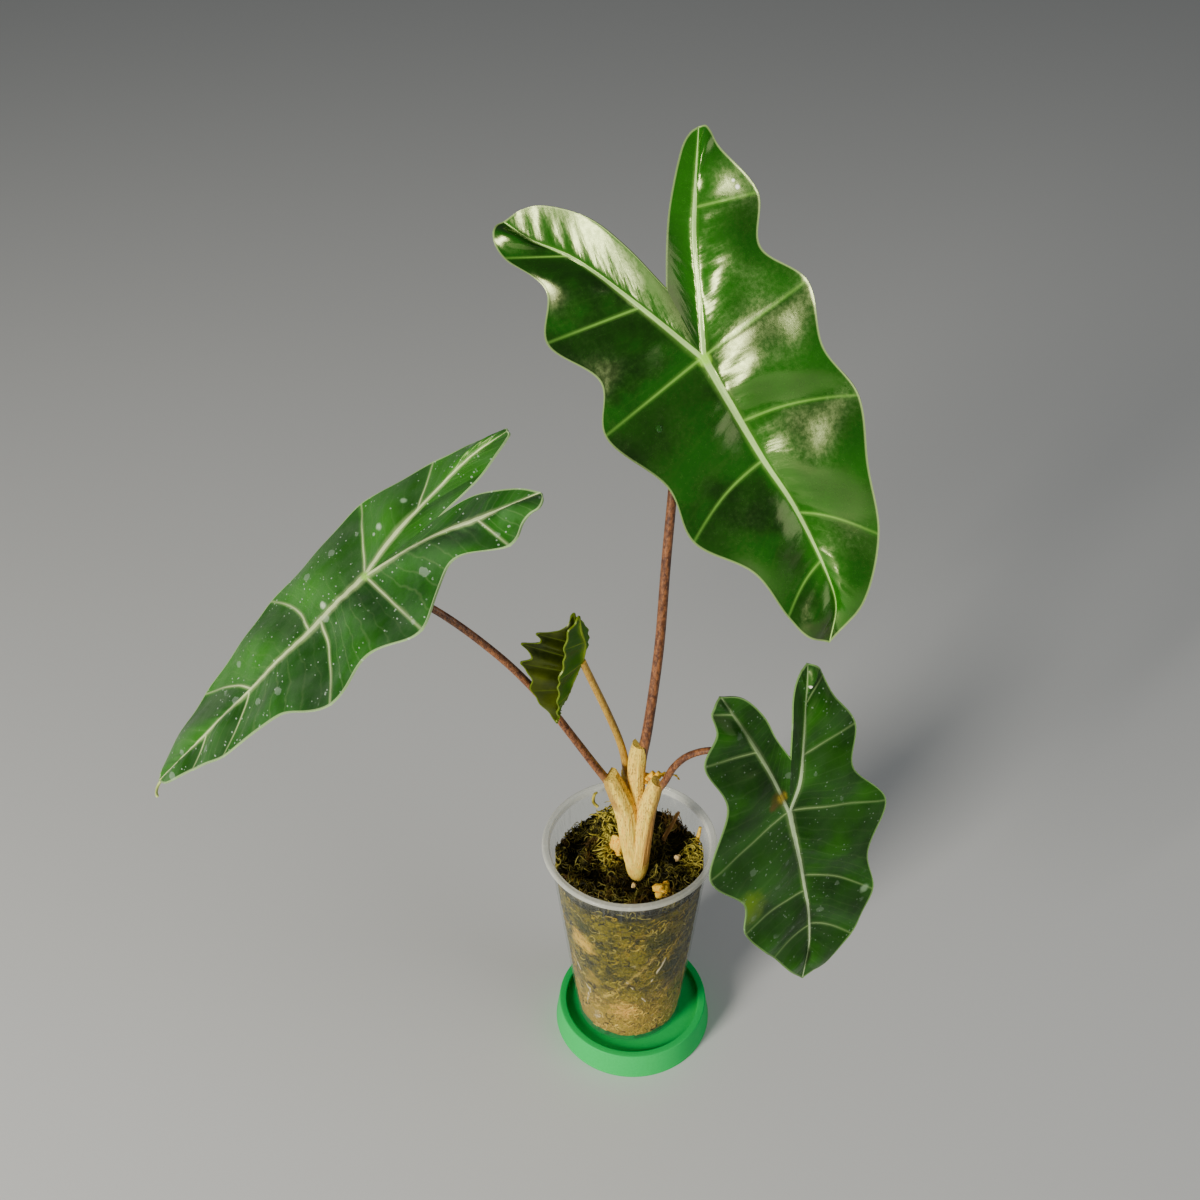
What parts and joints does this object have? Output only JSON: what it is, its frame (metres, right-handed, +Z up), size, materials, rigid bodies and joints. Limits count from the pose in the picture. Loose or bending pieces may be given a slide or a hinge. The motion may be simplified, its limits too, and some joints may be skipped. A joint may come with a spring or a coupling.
{
  "type": "potted alocasia plant",
  "caption": "Young alocasia with large wavy arrow-shaped leaves and a folded young leaf, in a clear cup of moss on a round green stand.",
  "frame": {"origin": "on the surface that the stand rests on, under the middle of the cup", "axes": "+Z up; +X to the right and +Y away from the viewer who sees the tall leaf from above its face"},
  "size_m": [0.3367, 0.1353, 0.498],
  "materials": {
    "stand_plastic": "satin bright green plastic",
    "clear_plastic": "clear, glossy, faintly scratched",
    "moss": "damp moss, dark brown to yellow-green",
    "root": "pale fleshy roots",
    "leaf_base": "cream, finely streaked",
    "stalk": "brown with dark mottling, fading to cream below",
    "young_stalk": "ochre",
    "blade": "glossy dark green with pale ribs and edge",
    "young_blade": "olive green with yellow-green edge",
    "bark": "rough orange-brown chips"
  },
  "bodies": {
    "root": {"stand": "stand_plastic", "cup": "clear_plastic", "moss": "moss", "rootstock": "root", "leaf_bases": "leaf_base", "petiole_1": "stalk", "petiole_2": "stalk", "petiole_3": "stalk", "petiole_4": "young_stalk", "leaf_1": "blade", "leaf_2": "blade", "leaf_3": "blade", "leaf_4": "young_blade", "bark_chip_1": "bark", "bark_chip_2": "bark", "twig": "bark"}
  },
  "joints": []
}
